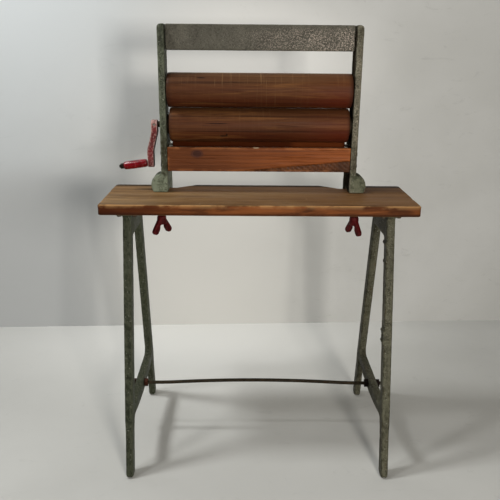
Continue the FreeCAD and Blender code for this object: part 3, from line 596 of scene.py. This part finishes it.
def relaxed(points, links, rounds):
    """The points after each has moved to the middle of its neighbours, that many times."""
    count = np.zeros(len(points))
    np.add.at(count, links[:, 0], 1)
    np.add.at(count, links[:, 1], 1)
    for _ in range(rounds):
        total = np.zeros_like(points)
        np.add.at(total, links[:, 0], points[links[:, 1]])
        np.add.at(total, links[:, 1], points[links[:, 0]])
        points = total / count[:, None]
    return points


def field(points, waves, seed):
    """Smooth noise from -1 to 1 at each point, in waves per metre."""
    shift = Vector((seed * 7.3, seed * 3.1, seed * 5.7))
    return np.array([noise.noise(Vector(p) * waves + shift) for p in points])


def ramp(values, start, end):
    """0 at start and before it, 1 at end and beyond, straight between."""
    return np.clip((values - start) / (end - start), 0, 1)


def store(mesh, name, values):
    """Keeps one value for each point of a mesh, for its material to read."""
    mesh.attributes.new(name, "FLOAT", "POINT").data.foreach_set("value", values.astype(np.float32))


def bridge(faces, below, above, closed=True):
    """Adds the faces between two rows of point numbers."""
    count = len(below)
    for k in range(count if closed else count - 1):
        step = (k + 1) % count
        faces.append((below[k], below[step], above[step], above[k]))


def skinned(mesh, voxel):
    """A closed copy of a mesh with even faces, their size in millimetres."""
    copy = added("copy", mesh.copy())
    skin = copy.modifiers.new("skin", "REMESH")
    skin.mode = "VOXEL"
    skin.voxel_size = voxel * MM
    graph = bpy.context.evaluated_depsgraph_get()
    result = bpy.data.meshes.new_from_object(copy.evaluated_get(graph))
    bpy.data.objects.remove(copy)
    return result


def sculpt(node, finish, voxel, rounds, dent, waves, reach, carve=None, shape=None):
    """A copy of a CAD piece with worn-round edges and an uneven skin, marked where its edges stand out and
    where it dips in.

    voxel, dent and reach are in millimetres: the size of its faces, the depth of its dents, and how far an
    edge has to stand out to count as worn. shape changes its points first. carve changes them last and adds
    marks of its own.
    """
    mesh = skinned(frame["nodes"][node].data, voxel)
    if shape:
        move(mesh, shape(triples(mesh.vertices, "co")))
        mesh = skinned(mesh, voxel)
    links = np.empty(len(mesh.edges) * 2, np.int32)
    mesh.edges.foreach_get("vertices", links)
    links = links.reshape(-1, 2)
    points = relaxed(triples(mesh.vertices, "co"), links, rounds)
    move(mesh, points)
    out = triples(mesh.vertex_normals, "vector")
    push = 0.5 + 0.5 * field(points, waves, len(node))
    points = points - out * (push * dent * MM)[:, None]
    stand = np.einsum("ij,ij->i", points - relaxed(points, links, 10), out)
    stand = relaxed(stand[:, None], links, 2)[:, 0] / (reach * MM)
    store(mesh, "edge", np.clip(stand, 0, 1))
    store(mesh, "hollow", np.clip(-stand, 0, 1))
    if carve:
        points, marks = carve(points)
        for name, values in marks.items():
            store(mesh, name, values)
    move(mesh, points)
    piece(node + "_piece", mesh, finish, node)


# The bench board, in millimetres
ARC_STEP = 0.7
OUTLINE_STEP = 2.4
RIM_UNDER, RIM_WALL = 4.2, 0.12
RIM_UPPER, RIM_LOWER = 2.0, 1.5
RIM_UPPER_LIMITS = (0.8, 3.4)
NICK_START, NICK_DEPTH = 0.34, 3.4
GRID_MARGIN, GRID_STEP = 20, 9.0


def rounded_outline(corners, step):
    """Points along a closed outline with rounded corners: (x, y, radius) each, in millimetres."""
    points = []
    for index, (x, y, radius) in enumerate(corners):
        corner = Vector((x, y))
        before = Vector(corners[index - 1][:2]) - corner
        after = Vector(corners[(index + 1) % len(corners)][:2]) - corner
        half = before.angle(after) / 2
        start = corner + before.normalized() * radius / math.tan(half)
        end = corner + after.normalized() * radius / math.tan(half)
        inside = (before.normalized() + after.normalized()).normalized()
        centre = corner + inside * radius / math.sin(half)
        turn = (start - centre).angle_signed(end - centre)
        count = max(2, int(abs(turn) * radius / ARC_STEP))
        for k in range(count + 1):
            points.append(centre + Matrix.Rotation(-turn * k / count, 2) @ (start - centre))
    outline = []
    for first, second in zip(points, points[1:] + points[:1]):
        pieces = max(1, int((second - first).length / step))
        outline += [first.lerp(second, k / pieces) for k in range(pieces)]
    return np.array(outline)


def bench_rim(outline, low, high):
    """Rings round the bench board from below to above: insets and heights in millimetres, and wear."""
    flat = np.column_stack([outline * MM, np.zeros(len(outline))])
    slow = field(flat, 22, 1.0)
    quick = field(flat, 120, 2.0)
    nick = np.clip(field(flat, 75, 3.0) - NICK_START, 0, 1) * NICK_DEPTH
    upper_round = np.clip(RIM_UPPER + 0.8 * slow + 0.4 * quick + nick, *RIM_UPPER_LIMITS)
    lower_round = RIM_LOWER + 0.5 * np.roll(slow, 40) + 0.3 * np.roll(quick, 11)
    wall = RIM_WALL + 0.10 * (1 + quick) / 2
    level = np.zeros(len(outline))
    rings = [(level + RIM_UNDER, level + low, 0.0)]
    for angle in np.linspace(math.pi / 2, 0, 5):
        inset = wall + lower_round * (1 - math.cos(angle))
        rings.append((inset, low + lower_round * (1 - math.sin(angle)), 0.0))
    for share in (0.35, 0.65):
        inset = wall + 0.08 * np.roll(quick, 23) + 0.08
        rings.append((inset, low + lower_round + share * (high - low - lower_round - upper_round), 0.0))
    for share in np.linspace(0, 1, 6):
        angle = share * math.pi / 2
        inset = wall + upper_round * (1 - math.cos(angle))
        rings.append((inset, high - upper_round * (1 - math.sin(angle)), 0.35 + 0.65 * share))
    rings.append((wall + upper_round + 0.4, level + high, 0.4))
    rings.append((wall + upper_round + 1.3, level + high, 0.0))
    return rings


def make_bench_top():
    """The bench board: worn-round edges of uneven width, nicks along the front, notches at the back."""
    half = span("table_top", X)[1] / MM
    back = span("table_top", Y)[1] / MM
    low, high = (z / MM for z in span("table_top", Z))
    notch_outer, notch_inner, notch_end, notch_floor = 155, 130, 101, 50
    notch = [(notch_outer, back, 4.5), (notch_outer, notch_floor, 1.5), (notch_inner, notch_floor, 3.0),
             (notch_end, back, 14.0)]
    corners = [(-half, -back, 5.8), (half, -back, 5.6), (half, back, 6.0)] + notch
    corners += [(-x, y, radius) for x, y, radius in reversed(notch)]
    corners.append((-half, back, 5.6))
    outline = rounded_outline(corners, OUTLINE_STEP)
    ahead = np.roll(outline, -1, 0) - np.roll(outline, 1, 0)
    inward = np.stack([-ahead[:, 1], ahead[:, 0]], 1)
    inward /= np.linalg.norm(inward, axis=1)[:, None]
    rings = bench_rim(outline, low, high)
    count = len(outline)
    points, edge, faces = [], [], []
    for inset, height, worn in rings:
        points.append(np.column_stack([outline + inward * inset[:, None], height]))
        edge.append(np.full(count, worn))
    rows = [range(ring * count, (ring + 1) * count) for ring in range(len(rings))]
    for below, above in zip(rows, rows[1:]):
        bridge(faces, below, above)
    total = len(rings) * count
    grid_x = np.arange(-half + GRID_MARGIN, half - GRID_MARGIN + 1, GRID_STEP)
    grid_y = np.arange(-back + GRID_MARGIN, notch_floor - 14, GRID_STEP)
    grid = [Vector((x, y)) for x in grid_x for y in grid_y]
    for ring, height, flip in ((0, low, True), (len(rings) - 1, high, False)):
        rim = [Vector(p[:2]) for p in points[ring]]
        flat = geometry.delaunay_2d_cdt(rim + grid, [], [list(range(count))], 1, 1e-5)
        sheet, _, cells, sources, _, _ = flat
        number = {}
        for k, source in enumerate(sources):
            on_rim = [s for s in source if s < count]
            if on_rim:
                number[k] = ring * count + on_rim[0]
            else:
                number[k] = total
                total += 1
                points.append(np.array([[*sheet[k], height]]))
                edge.append(np.zeros(1))
        for cell in cells:
            loop = [number[k] for k in cell]
            faces.append(tuple(reversed(loop)) if flip else tuple(loop))
    mesh = built("bench_top", (np.vstack(points) * MM).tolist(), faces)
    store(mesh, "edge", np.concatenate(edge))
    piece("bench_top", mesh, "bench_wood", "table_top")


# Turned pieces, in millimetres
ROLLER_BORE = 4.62
ROLLER_END = ((0.0, ROLLER_BORE), (0.0, 14.0), (0.0, 22.3), (0.25, 23.7), (0.8, 24.7), (1.7, 25.2))
ROLLER_FULLER, ROLLER_UNEVEN = 0.06, 0.04
ROLLER_SECTIONS, ROLLER_TURNS = 90, 112
ROLLER_SKIN, ROLLER_RIPPLE = 20.0, 0.0012
CRANK_RADIUS = 59.0
GRIP_DROOP = math.radians(8)
GRIP_START, GRIP_END, GRIP_BORE = 1.15, 37.6, 2.56
GRIP_LIP = ((0.0, GRIP_BORE), (0.0, 4.2), (0.3, 5.2), (1.0, 5.75))
GRIP_SECTIONS, GRIP_TURNS = 24, 56


def lathe(name, profile, turns, place):
    """A closed ring of sections: profile holds (along, radius) pairs, place puts (along, u, v) in space."""
    points, faces = [], []
    for along, radius in profile:
        for k in range(turns):
            angle = 2 * math.pi * k / turns
            points.append(place(along, radius * math.cos(angle), radius * math.sin(angle)))
    rows = [range(row * turns, (row + 1) * turns) for row in range(len(profile))]
    for below, above in zip(rows, rows[1:] + rows[:1]):
        bridge(faces, below, above)
    return built(name, points, faces)


def make_roller(name, node, finish, axis):
    """A hand-turned roller: not quite even, with softened ends and a bore for its axle."""
    half = span(node, X)[1] / MM
    radius = (span(node, Z)[1] - span(node, Z)[0]) / 2 / MM
    start = [(-half + along, size) for along, size in ROLLER_END]
    barrel = []
    for x in np.linspace(-half + 4, half - 4, ROLLER_SECTIONS):
        wave = noise.noise(Vector((x * 0.035, 1.7, axis[1] * 9)))
        barrel.append((x, radius + ROLLER_FULLER + ROLLER_UNEVEN * wave))
    profile = start + barrel + [(-x, size) for x, size in reversed(start)]
    mesh = lathe(name, profile, ROLLER_TURNS, lambda x, u, v: (x * MM, axis[0] + u * MM, axis[1] + v * MM))
    points = triples(mesh.vertices, "co")
    around = (points - np.array([0, *axis])) * np.array([0, 1, 1])
    outer = np.linalg.norm(around, axis=1) > ROLLER_SKIN * MM
    ripple = field(np.column_stack([points[:, 0] * 0.2, around[:, 1:]]), 110, axis[1])
    around *= np.where(outer, 1 + ripple * ROLLER_RIPPLE, 1)[:, None]
    move(mesh, np.column_stack([points[:, 0], axis[0] + around[:, 1], axis[1] + around[:, 2]]))
    piece(name, mesh, finish, node)


def make_grip():
    """The turned grip, barrelled, with a groove near its end and a rounded lip at both."""
    root = Vector((span("crank_arm", X)[0] / MM, middle("crank_arm", Y) / MM,
                   middle("lower_axle", Z) / MM - CRANK_RADIUS))
    out = Vector((-math.cos(GRIP_DROOP), 0, -math.sin(GRIP_DROOP)))
    side = Vector((0, 1, 0))
    up = out.cross(side)
    lip = GRIP_LIP[-1][0]
    profile = [(GRIP_START + along, radius) for along, radius in GRIP_LIP]
    for k in range(1, GRIP_SECTIONS):
        share = k / GRIP_SECTIONS
        swell = 5.95 + 0.5 * math.sin(math.pi * share) ** 0.5
        groove = 0.25 * math.exp(-((share - 0.93) / 0.018) ** 2)
        profile.append((GRIP_START + lip + share * (GRIP_END - GRIP_START - 2 * lip), swell - groove))
    profile += [(GRIP_END - along, radius) for along, radius in reversed(GRIP_LIP)]

    def place(along, u, v):
        return tuple((root + out * along + side * u + up * v) * MM)

    mesh = lathe("grip", profile, GRIP_TURNS, place)
    piece("grip", mesh, "grip_paint", "crank_grip")


# Shapes of cast, sawn and winged pieces, in millimetres
SAW_LIP_X = (-45, 0, 60, 108, 136)
SAW_LIP_HEIGHT = (0.0, 5.0, 10.5, 15.5, 18.0)
SAW_START = (-45, -20)
SAW_DEEPEST = 2.2
CHIP_X = -4.5
TAPER_HEIGHTS, TAPER_PLACES, TAPER_SHARE = (96, 62), (88, 100), 0.13
FLASH = ((352, 2.6), (324, 1.4), (221, 1.6), (207, 2.2))
WING_ANGLES = {"left": 49, "right": -63}
WING_NOTCH_HALF, WING_ARCH_HALF, WING_ARCH_LIFT = 0.7, 5.6, 0.3


def saw_band(points):
    """The lower right of the front board, left rough from the saw: set back, with slanting ridges."""
    x, y, z = (points / MM).T
    face = span("front_board", Y)[0] / MM
    low, high = (height / MM for height in span("front_board", Z))
    lip = low + np.interp(x, SAW_LIP_X, SAW_LIP_HEIGHT) + 0.8 * field(points, 60, 4.0)
    front = ramp(y, face + 2.5, face + 0.5)
    sawn = np.clip((lip - z) / 1.6, 0, 1) * ramp(x, *SAW_START) * front
    ridge = 0.5 + 0.5 * np.sin((x * 0.9 + z * 1.25) * 0.78 + 1.4 * field(points, 70, 5.0))
    grain = field(points, 320, 6.0)
    chip = np.exp(-(((x - CHIP_X) / 5.5) ** 2 + ((z - high) / 1.6) ** 2)) * front
    deep = sawn * (0.75 + 0.45 * ridge + 0.25 * grain) + chip * 0.8
    points = points.copy()
    points[:, 1] += np.clip(deep, 0, SAW_DEEPEST) * MM
    points[:, 2] -= np.where(z > high - 3, chip * 0.9, 0) * MM
    return points, {"sawn": sawn}


def slim_feet(points):
    """Legs cast thinner below the crossbar, with flash left on the inside of the right front one."""
    x, y, z = (points / MM).T
    centre = (x.min() + x.max()) / 2
    below = ramp(z, *TAPER_HEIGHTS) * ramp(np.abs(y), *TAPER_PLACES)
    below = below * below * (3 - 2 * below)
    points = points.copy()
    points[:, 0] = (centre + (x - centre) * (1 - TAPER_SHARE * below)) * MM
    if centre > 0:
        inside = ramp(y, -30, -40) * ramp(x, centre - 4.5, centre - 6.5)
        lumps = sum(size * np.exp(-((z - level) / 2.4) ** 2) for level, size in FLASH)
        ragged = ramp(z, 198, 204) * ramp(z, 236, 230) * np.clip(field(points, 420, 8.0), 0, 1) * 2.2
        points[:, 0] -= inside * (lumps + ragged) * MM
    return points, {}


def arch_wings(points):
    """Wings that stand apart under a flat arch, as cast, rather than meeting in a notch."""
    x, y, z = (points / MM).T
    side = "left" if x.mean() < 0 else "right"
    angle = math.radians(WING_ANGLES[side])
    away_x = x - middle(side + "_clamp_pad", X) / MM
    away_y = y - middle(side + "_clamp_pad", Y) / MM
    across = np.abs(away_x * math.cos(angle) + away_y * math.sin(angle))
    crown = z[across < WING_NOTCH_HALF].min() + WING_ARCH_LIFT
    return np.column_stack([x, y, np.where((across < WING_ARCH_HALF) & (z < crown), crown, z)]) * MM


# Slotted screws, in millimetres: radius and depth of each ring of the head and the shank
HEAD_RINGS = ((3.63, 0.0), (3.9, -0.25), (3.05, -1.1))
SHANK_RINGS = ((1.95, -2.4), (1.95, -28.3))
SLOT_HALF = 0.55
HEAD_STEPS = 18
HEAD_SUNK = 0.1
SCREW_HALF_PITCH = 9.0


def add_screw(points, faces, centre, axis, angle):
    """Adds one closed flat-head screw whose slot is turned by an angle round its outward axis."""
    first = axis.orthogonal().normalized()
    first.rotate(Matrix.Rotation(angle, 3, axis))
    second = axis.cross(first)

    def row(radius, turns, along):
        start = len(points)
        for turn in turns:
            spot = first * radius * math.cos(turn) + second * radius * math.sin(turn) + axis * along
            points.append(tuple((centre + spot) * MM))
        return list(range(start, len(points)))

    slot_floor = []
    for half_turn in (0.0, math.pi):
        arcs = []
        for radius, along in HEAD_RINGS:
            lean = math.asin(SLOT_HALF / radius)
            sweep = math.pi - 2 * lean
            turns = [half_turn + lean + sweep * k / HEAD_STEPS for k in range(HEAD_STEPS + 1)]
            arcs.append(row(radius, turns, along))
        top, rim, foot = arcs
        faces.append(tuple(top))
        bridge(faces, rim, top, closed=False)
        bridge(faces, foot, rim, closed=False)
        faces.append((top[0], top[-1], rim[-1], foot[-1], foot[0], rim[0]))
        slot_floor.append(foot)
    faces.append((slot_floor[0][0], slot_floor[0][-1], slot_floor[1][0], slot_floor[1][-1]))
    above = slot_floor[0] + slot_floor[1]
    turns = [2 * math.pi * (k + 0.5) / len(above) for k in range(len(above))]
    for radius, along in SHANK_RINGS:
        below = row(radius, turns, along)
        bridge(faces, below, above)
        above = below
    faces.append(tuple(reversed(above)))


def slotted_screws(name, node, boards):
    """Screws through the side frames into boards, two at each end. boards give each one's slot angle."""
    points, faces = [], []
    face = span(node, X)[1] / MM - HEAD_SUNK
    for side in (-1, 1):
        for board, angle in boards.items():
            for height in (-SCREW_HALF_PITCH, SCREW_HALF_PITCH):
                z = middle(board, Z) / MM + height
                centre = Vector((side * face, middle(board, Y) / MM, z))
                add_screw(points, faces, centre, Vector((side, 0, 0)), angle + side * z)
    mesh = built(name, points, faces)
    piece(name, mesh, "left_frame_paint", node)
    mesh.shade_flat()


# The pieces
make_bench_top()
make_roller("upper_roll", "upper_roller", "upper_wood", upper_axis)
make_roller("lower_roll", "lower_roller", "lower_wood", lower_axis)
make_grip()
for side in ("left", "right"):
    sculpt(side + "_leg_frame", side + "_leg_paint", voxel=1.5, rounds=3, dent=0.35, waves=110, reach=0.45,
           carve=slim_feet)
    sculpt(side + "_side_frame", side + "_frame_paint", voxel=1.1, rounds=6, dent=0.40, waves=110, reach=0.4)
    sculpt(side + "_thumbscrew", "screw_paint", voxel=0.6, rounds=6, dent=0.15, waves=300, reach=0.25,
           shape=arch_wings)
sculpt("top_rail", "rail_paint", voxel=1.4, rounds=2, dent=0.25, waves=140, reach=0.3)
sculpt("front_board", "feed_wood", voxel=1.0, rounds=2, dent=0.12, waves=60, reach=0.3, carve=saw_band)
sculpt("rear_board", "rear_wood", voxel=1.6, rounds=2, dent=0.2, waves=60, reach=0.3)
sculpt("crank_arm", "crank_paint", voxel=0.6, rounds=5, dent=0.2, waves=220, reach=0.3)
sculpt("tie_rod_nuts", "rusty_iron", voxel=0.55, rounds=2, dent=0.15, waves=300, reach=0.2)
sculpt("crank_end_nut", "black_iron", voxel=0.35, rounds=1, dent=0.05, waves=300, reach=0.15)
slotted_screws("rail_slotted_screws", "rail_screws", {"top_rail": 0.7})
slotted_screws("feed_slotted_screws", "feed_board_screws", {"front_board": 17.0, "rear_board": 45.5})

# CAD pieces that keep their shape
kept = {
    "dark_iron": ("tie_rod", "thrust_washers", "lower_axle", "crank_spindle", "upper_bearing_blocks",
                  "upper_axle", "left_clamp_pad", "right_clamp_pad"),
    "old_steel": ("leg_frame_screws",),
    "steel": ("rear_board_spacers", "crank_cross_pin"),
    "brass": ("lower_bushes",),
}
for finish, nodes in kept.items():
    for node in nodes:
        dress(frame["nodes"][node], finish)

# The stage
STAGE_CLOUDS = Pattern((2.3, 2.3, 2.3), 5, 0.6, 0.3)
STAGE_SCUFFS = Pattern((17, 26, 40), 6, 0.75, 1.6)
STAGE_ROUGHNESS = 0.6
STAGE_HALF = 6
WALL_HEIGHT = 4
WALL_Y = 0.446
WALL_TURN = 0.045 * STAGE_HALF


class StageFinish(Finish):
    """Matt painted board, very slightly uneven, that takes wide soft patches of painted light and shade."""

    def __init__(self, name, base, other):
        super().__init__(name, gloss=0.2)
        self.colour = self.mix(self.patches(STAGE_CLOUDS, (1, 2, 3), 0.3, 0.7), base, other)
        self.tint(self.patches(STAGE_SCUFFS, (4, 1, 2), 0.58, 0.70, 0.22), (150, 149, 144))

    def patch(self, centre, reach, colour):
        self.tint(self.spot(centre, reach, core=0.1), colour)


def floor_paint():
    """The pale floor, with painted light brightest behind the mangle."""
    finish = StageFinish("floor_paint", (184, 183, 178), (192, 191, 186))
    # Painted light: a bright patch behind the mangle
    finish.patch((-0.11, 0.40, 0), (0.66, 0.40, 1), (226, 225, 220))
    finish.close(STAGE_ROUGHNESS)


def wall_paint():
    """The pale wall: painted light and shade, cooler on the left, brightest behind the mangle, not there
    from behind.
    """
    cool_left = (-0.15, -0.55)
    low_heights, low_places = (0.42, 0.30), (-0.24, -0.40)
    finish = StageFinish("wall_paint", (193, 192, 187), (205, 204, 200))
    # Painted light and shade: cool light and a bright patch at the upper left, painted shade low on the left
    # with the board's painted shadow, and bright patches behind the mangle
    finish.tint(finish.mask(finish.x, *cool_left, 0.6), (190, 195, 198))
    finish.patch((-0.50, 0.42, 0.80), (0.52, 1, 0.46), (208, 212, 213))
    low_left_painted_shade = finish.times(finish.mask(finish.z, *low_heights), finish.mask(finish.x, *low_places))
    finish.tint(low_left_painted_shade, (180, 181, 180))
    finish.patch((-0.42, 0.42, 0.285), (0.24, 1, 0.12), (171, 172, 171))
    finish.patch((-0.10, 0.44, 0.14), (0.37, 1, 0.36), (216, 214, 208))
    finish.patch((-0.02, 0.45, 0.36), (0.36, 1, 0.19), (222, 220, 214))
    finish.patch((0.0, 0.45, 0.60), (0.36, 1, 0.19), (234, 232, 227))
    finish.close(STAGE_ROUGHNESS)
    behind = finish.add("ShaderNodeNewGeometry").outputs["Backfacing"]
    clear = finish.add("ShaderNodeBsdfTransparent").outputs[0]
    surface = finish.add("ShaderNodeMixShader", {0: behind, 1: finish.shader.outputs[0], 2: clear})
    finish.put(finish.tree.nodes["Material Output"].inputs["Surface"], surface.outputs[0])


def stage_plane(name, corners, finish):
    """One flat face of the stage."""
    obj = added(name, built(name, corners, [tuple(range(len(corners)))]))
    dress(obj, finish)


floor_corners = [(x * STAGE_HALF, y * STAGE_HALF, 0) for x, y in ((-1, -1), (1, -1), (1, 1), (-1, 1))]
wall_left = (-STAGE_HALF, WALL_Y - WALL_TURN)
wall_right = (STAGE_HALF, WALL_Y + WALL_TURN)
wall_corners = [(*wall_left, 0), (*wall_right, 0), (*wall_right, WALL_HEIGHT), (*wall_left, WALL_HEIGHT)]
floor_paint()
wall_paint()
stage_plane("floor", floor_corners, "floor_paint")
stage_plane("wall", wall_corners, "wall_paint")


# Light
def lamp(name, place, size, power, colour, aim=(0.0, 0.20, 0.4)):
    """A square area lamp that faces its aim; places in metres, power in watts."""
    light = bpy.data.lights.new(name, "AREA")
    light.size = size
    light.energy = power
    light.color = colour
    obj = added(name, light)
    obj.location = place
    obj.rotation_euler = (Vector(aim) - Vector(place)).to_track_quat("-Z", "Y").to_euler()


lamp("left_light", (-0.96, -0.10, 1.75), size=0.22, power=15.0, colour=(0.965, 0.99, 1.0))
lamp("high_light", (-0.95, -0.55, 1.90), size=0.17, power=6.5, colour=(0.98, 0.99, 1.0))
lamp("side_light", (-1.39, -0.97, 0.66), size=0.30, power=2.5, colour=(0.965, 0.99, 1.0))
lamp("front_light", (0.38, -1.45, 0.66), size=0.22, power=15.5, colour=(1.0, 0.97, 0.92))
lamp("ceiling_light", (0.00, -0.20, 2.30), size=0.25, power=2.0, colour=(1.0, 0.985, 0.955),
     aim=(0.0, 0.10, 0.2))
scene.world = bpy.data.worlds.new("studio")
scene.world.use_nodes = True
background = scene.world.node_tree.nodes["Background"]
background.inputs["Color"].default_value = (0.97, 0.985, 1.0, 1.0)
background.inputs["Strength"].default_value = 0.03

# The camera, fitted to the photograph: place in metres, angles in radians, lens in millimetres
CAMERA_PLACE = (-0.02273, -0.95876, 0.62592)
CAMERA_LENS = 46.08
CAMERA_SENSOR = 36.0
pitch, roll, yaw = 0.3047, 0.00884, 0.01048
camera = bpy.data.cameras.new("camera")
camera.lens = CAMERA_LENS
camera.sensor_width = CAMERA_SENSOR
viewer = added("camera", camera)
tilt = Matrix.Rotation(math.pi / 2 - pitch, 4, "X")
turn = Matrix.Rotation(-yaw, 4, "Z") @ tilt @ Matrix.Rotation(roll, 4, "Z")
viewer.matrix_world = Matrix.Translation(CAMERA_PLACE) @ turn
scene.camera = viewer

scene.view_settings.view_transform = "Standard"

bpy.context.view_layer.update()
